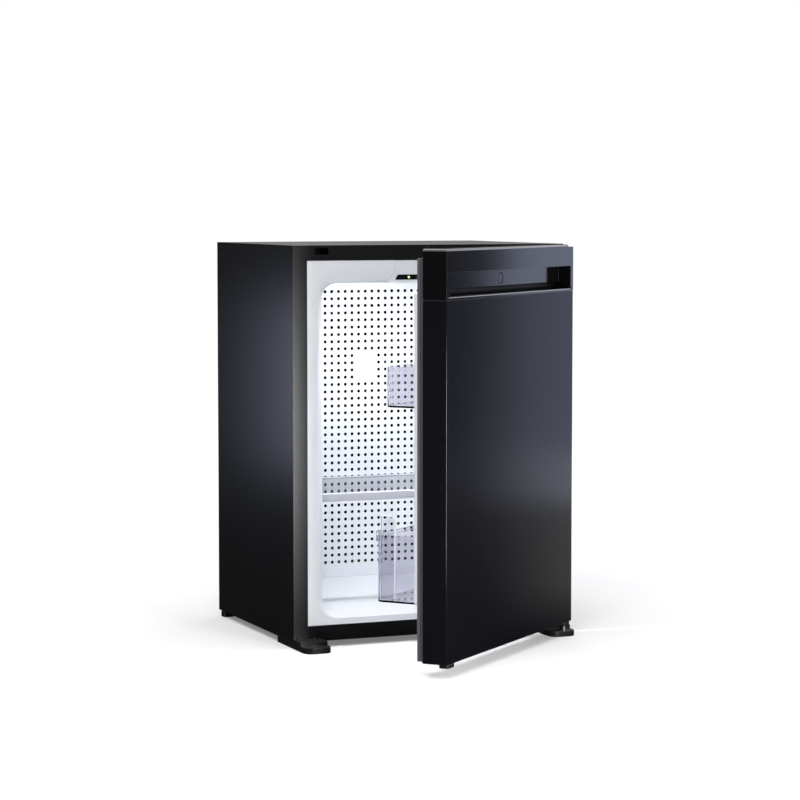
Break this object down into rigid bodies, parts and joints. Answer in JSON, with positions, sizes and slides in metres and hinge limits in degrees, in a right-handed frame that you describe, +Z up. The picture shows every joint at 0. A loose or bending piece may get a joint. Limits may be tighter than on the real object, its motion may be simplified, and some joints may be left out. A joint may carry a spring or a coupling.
{
  "type": "absorption minibar fridge",
  "caption": "Black hotel minibar fridge with a white liner, its right-hinged door ajar, door bins, a shelf and a cooling unit behind.",
  "frame": {"origin": "on the floor, under the middle of the whole object's bounding box with the door ajar", "axes": "+Z up, +Y from the door to the cooling unit at the back, +X towards the hinge side"},
  "size_m": [0.417, 0.7046, 0.565],
  "materials": {
    "case_black": "satin",
    "door_black": "satin",
    "trim_black": "satin",
    "foot_black": "matte",
    "seal_grey": "matte",
    "liner_white": "satin",
    "foam_cream": "matte",
    "trim_grey": "satin",
    "smoke_clear": "clear, smoke tinted",
    "shelf_glass": "clear, smoke tinted",
    "window_black": "gloss",
    "led_green": "gloss",
    "lamp_white": "frosted",
    "screw_black": "satin",
    "steel": "satin",
    "aluminium": "plain",
    "unit_black": "matte",
    "canister_grey": "galvanised"
  },
  "bodies": {
    "cabinet": {"outer_case": "case_black", "base_pan": "case_black", "back_plate": "unit_black", "cabinet_foam": "foam_cream", "inner_liner": "liner_white", "back_cover": "liner_white", "cold_plate": "aluminium", "drip_gutter": "liner_white", "control_housing": "liner_white", "control_window": "window_black", "status_led": "led_green", "lamp_lens": "lamp_white", "shelf_front_trim": "trim_grey", "shelf_rear_trim": "trim_grey", "shelf_glass": "shelf_glass", "front_foot_left": "foot_black", "front_foot_right": "foot_black", "front_foot_left_screw_1": "screw_black", "front_foot_left_screw_2": "screw_black", "front_foot_left_screw_3": "screw_black", "front_foot_right_screw_1": "screw_black", "front_foot_right_screw_2": "screw_black", "rear_foot_left": "foot_black", "rear_foot_right": "foot_black", "lower_hinge_pin": "steel", "upper_hinge_arm": "steel", "upper_hinge_pin": "steel", "latch_keeper": "trim_black", "unit_strap_lower": "unit_black", "unit_strap_middle": "unit_black", "unit_strap_upper": "unit_black", "unit_plug": "foam_cream", "evaporator_feed": "unit_black", "evaporator_return": "unit_black", "boiler_canister": "canister_grey", "heater_cartridge": "steel", "absorber_vessel": "unit_black", "absorber_coil": "unit_black", "condenser": "unit_black", "riser_pipe": "unit_black", "liquid_pipe": "unit_black", "power_box": "foot_black", "mains_inlet": "foot_black"},
    "door": {"door_shell": "door_black", "handle_moulding": "trim_black", "upper_bush": "liner_white", "lower_bush": "foot_black", "corner_plug": "foot_black", "door_foam": "foam_cream", "door_liner": "liner_white", "door_gasket": "seal_grey", "lower_bin": "smoke_clear", "upper_bin": "smoke_clear"},
    "lock_button": {"lock_button": "trim_black"},
    "bottle_retainer": {"bottle_retainer": "smoke_clear"}
  },
  "joints": [
    {"name": "door_swing", "type": "hinge", "parent": "cabinet", "child": "door", "pos_m": [0.1925, -0.08772, 0.29], "axis": [0, 0, 1], "range_deg": [-40.68, 64.32]},
    {"name": "button_press", "type": "slide", "parent": "door", "child": "lock_button", "axis": [-0.6518, 0.7584, 0], "range_m": [0, 0.0012], "stiffness_N_per_m": 500},
    {"name": "retainer_slide", "type": "slide", "parent": "door", "child": "bottle_retainer", "axis": [0.7584, 0.6518, 0], "range_m": [0, 0.22]}
  ]
}
